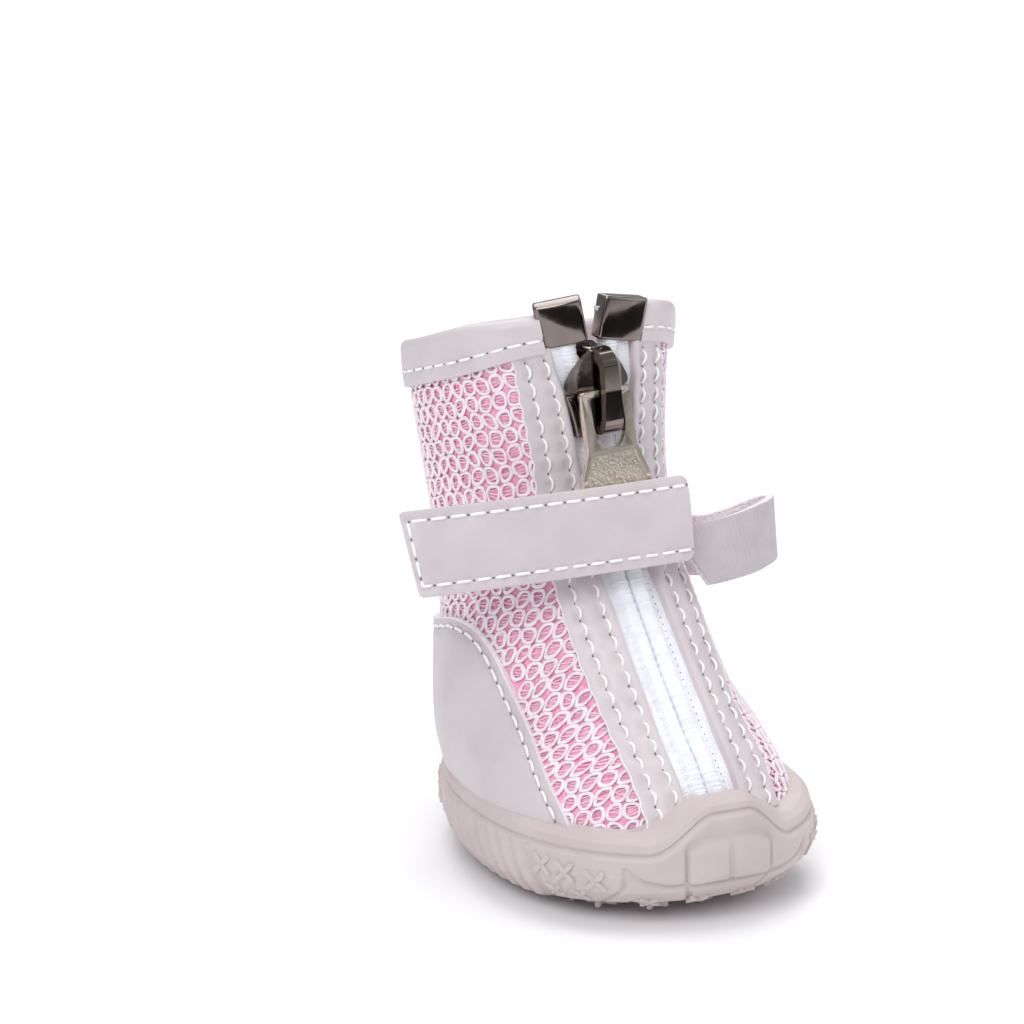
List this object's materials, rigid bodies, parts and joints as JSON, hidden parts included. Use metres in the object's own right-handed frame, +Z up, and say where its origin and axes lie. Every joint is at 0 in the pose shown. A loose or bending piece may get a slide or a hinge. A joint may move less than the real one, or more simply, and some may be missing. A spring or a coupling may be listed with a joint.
{
  "type": "dog boot",
  "caption": "Small dog boot: mesh bootie with a front zip, leatherette trim, a hook strap across the instep and a moulded rubber cup sole.",
  "frame": {"origin": "middle of the sole's tread, on the ground", "axes": "+Z up; the toe points to -Y; the strap's folded tape is on the +X side"},
  "size_m": [0.055, 0.0651, 0.0724],
  "materials": {
    "rubber": "matte moulded",
    "mesh_fabric": "open knitted spacer mesh",
    "lining": "soft knit",
    "leatherette": "fine grain, satin",
    "hook_tape": "woven nylon",
    "zip_fabric": "woven tape over a nylon coil",
    "nickel": "polished dark nickel plate"
  },
  "bodies": {
    "boot": {"sole": "rubber", "upper": "mesh_fabric", "insole": "lining", "zip_chain": "zip_fabric", "zip_slider": "nickel", "end_clip_left": "nickel", "end_clip_right": "nickel", "strap_strip": "leatherette", "strap_tape": "hook_tape"},
    "pull_tab": {"pull_tab": "nickel"}
  },
  "joints": [
    {"name": "tab_swing", "type": "hinge", "parent": "boot", "child": "pull_tab", "pos_m": [-0.00067, 0.00238, 0.06123], "axis": [-0.9982, 0, -0.0599], "range_deg": [0, 6]}
  ]
}
